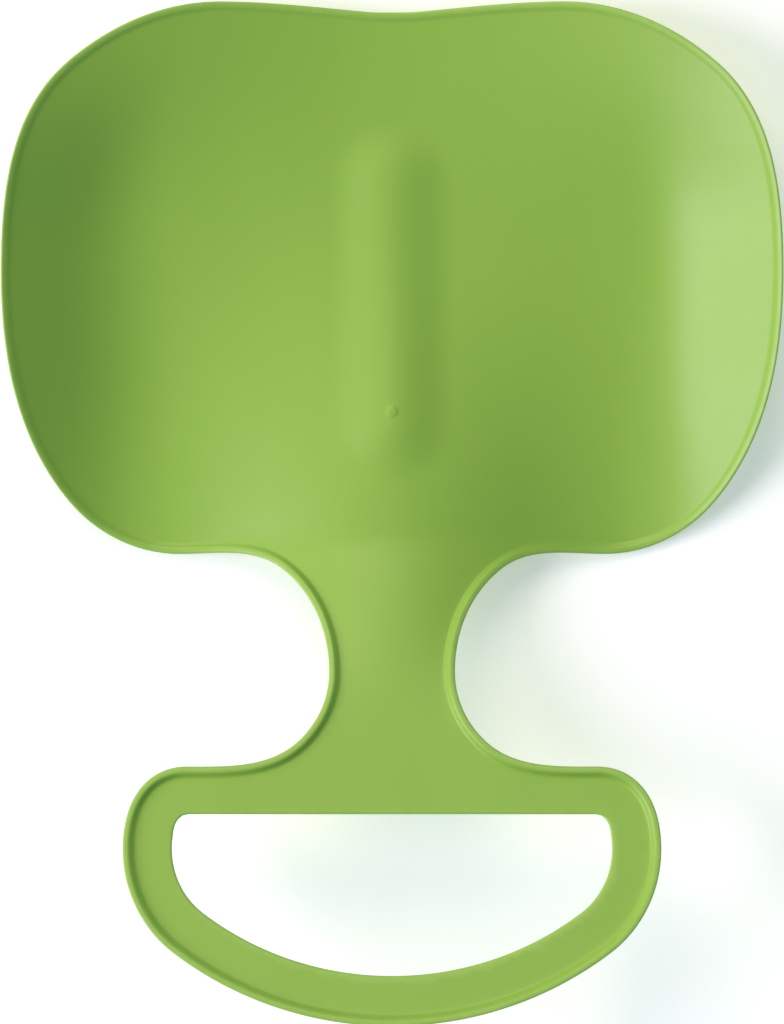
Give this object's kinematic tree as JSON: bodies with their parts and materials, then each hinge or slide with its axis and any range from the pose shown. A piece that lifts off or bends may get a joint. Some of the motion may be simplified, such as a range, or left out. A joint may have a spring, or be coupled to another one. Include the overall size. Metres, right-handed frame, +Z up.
{
  "type": "leaf grabber hand",
  "caption": "Scoop-shaped hand for grabbing leaves: a shallow two-lobed dish with a raised rim and centre rib, a short neck and a D-shaped grip, moulded in one piece.",
  "frame": {"origin": "middle of the bounding box in plan, on the surface that the hand rests on with its hollow side up", "axes": "+X across the hand, +Y from the grip towards the scooping lip, +Z up out of the hollow; the hand is symmetric about the plane X = 0"},
  "size_m": [0.306, 0.4, 0.0736],
  "materials": {
    "green_polypropylene": "fine matt grain, leaf green"
  },
  "bodies": {
    "root": {"leaf_hand": "green_polypropylene"}
  },
  "joints": []
}
